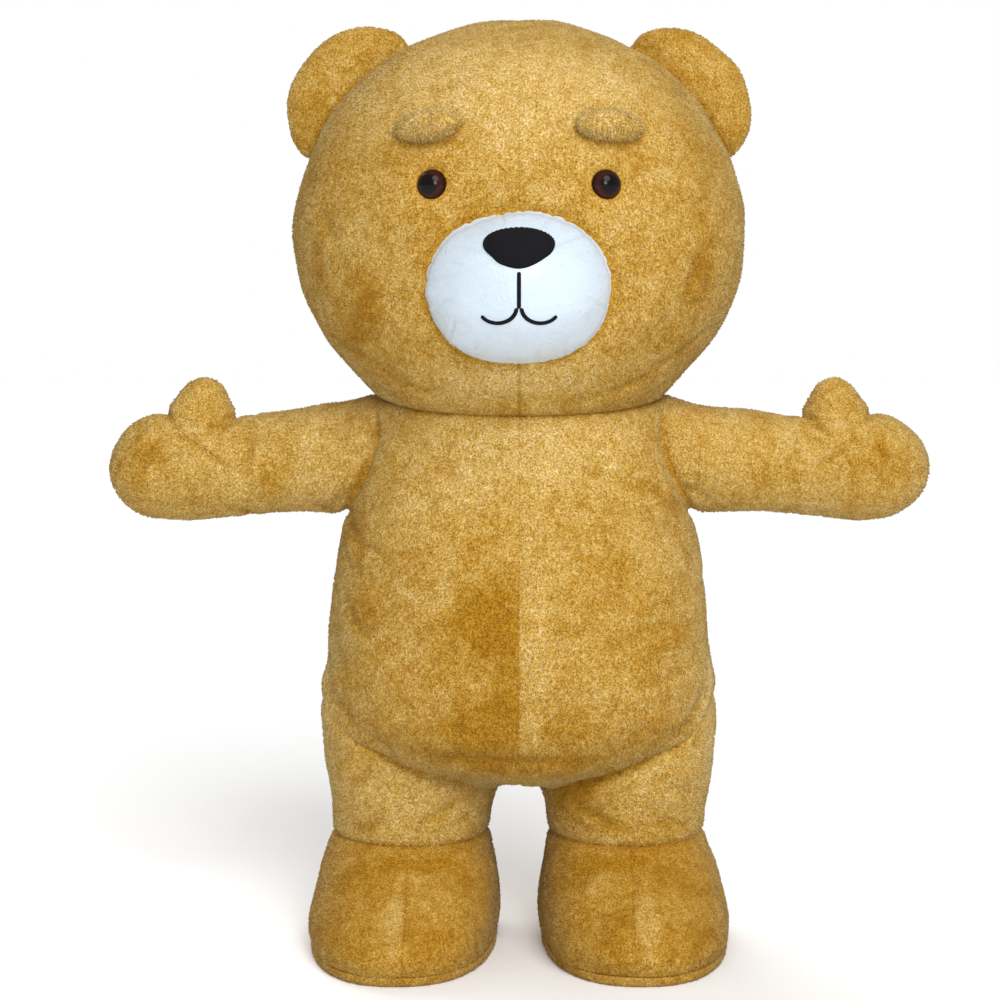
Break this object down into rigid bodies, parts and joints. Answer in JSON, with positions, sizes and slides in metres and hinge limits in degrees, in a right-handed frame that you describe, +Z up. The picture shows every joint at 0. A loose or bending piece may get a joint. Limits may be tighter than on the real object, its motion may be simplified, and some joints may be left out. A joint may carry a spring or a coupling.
{
  "type": "bear mascot costume",
  "caption": "One-piece plush bear costume with a large round head, mittens and padded feet, filled out as worn, hollow, with a zip down the back.",
  "frame": {"origin": "on the ground, under the middle of the costume's box", "axes": "+Z up, the bear faces -Y, its left side is at +X"},
  "size_m": [1.774, 0.9036, 1.982],
  "materials": {
    "plush": "short dense golden-brown plush",
    "satin": "slick white cloth",
    "black_cloth": "matt black cloth",
    "glossy_brown": "glossy dark brown",
    "zip_cloth": "woven tape",
    "zip_metal": "satin"
  },
  "bodies": {
    "costume": {"arm_left_back": "plush", "arm_left_front": "plush", "arm_right_back": "plush", "arm_right_front": "plush", "body_back_left": "plush", "body_back_right": "plush", "body_front_left": "plush", "body_front_right": "plush", "brow_left": "plush", "brow_right": "plush", "ear_left_back": "plush", "ear_left_front": "plush", "ear_right_back": "plush", "ear_right_front": "plush", "eye_left": "glossy_brown", "eye_right": "glossy_brown", "foot_left_inner": "plush", "foot_left_outer": "plush", "foot_right_inner": "plush", "foot_right_outer": "plush", "head_back_left": "plush", "head_back_right": "plush", "head_face_left": "plush", "head_face_right": "plush", "leg_left_back": "plush", "leg_left_front": "plush", "leg_right_back": "plush", "leg_right_front": "plush", "mouth_left": "black_cloth", "mouth_right": "black_cloth", "mouth_stem": "black_cloth", "muzzle": "satin", "nose": "black_cloth", "sole_left": "plush", "sole_right": "plush", "zip_chain": "zip_metal", "zip_slider": "zip_metal", "zip_tape": "zip_cloth"},
    "zip_pull": {"zip_pull": "zip_metal"}
  },
  "joints": [
    {"name": "pull_tab_hinge", "type": "hinge", "parent": "costume", "child": "zip_pull", "pos_m": [0, 0.33998, 1.0949], "axis": [1, 0, 0], "range_deg": [0, 150]}
  ]
}
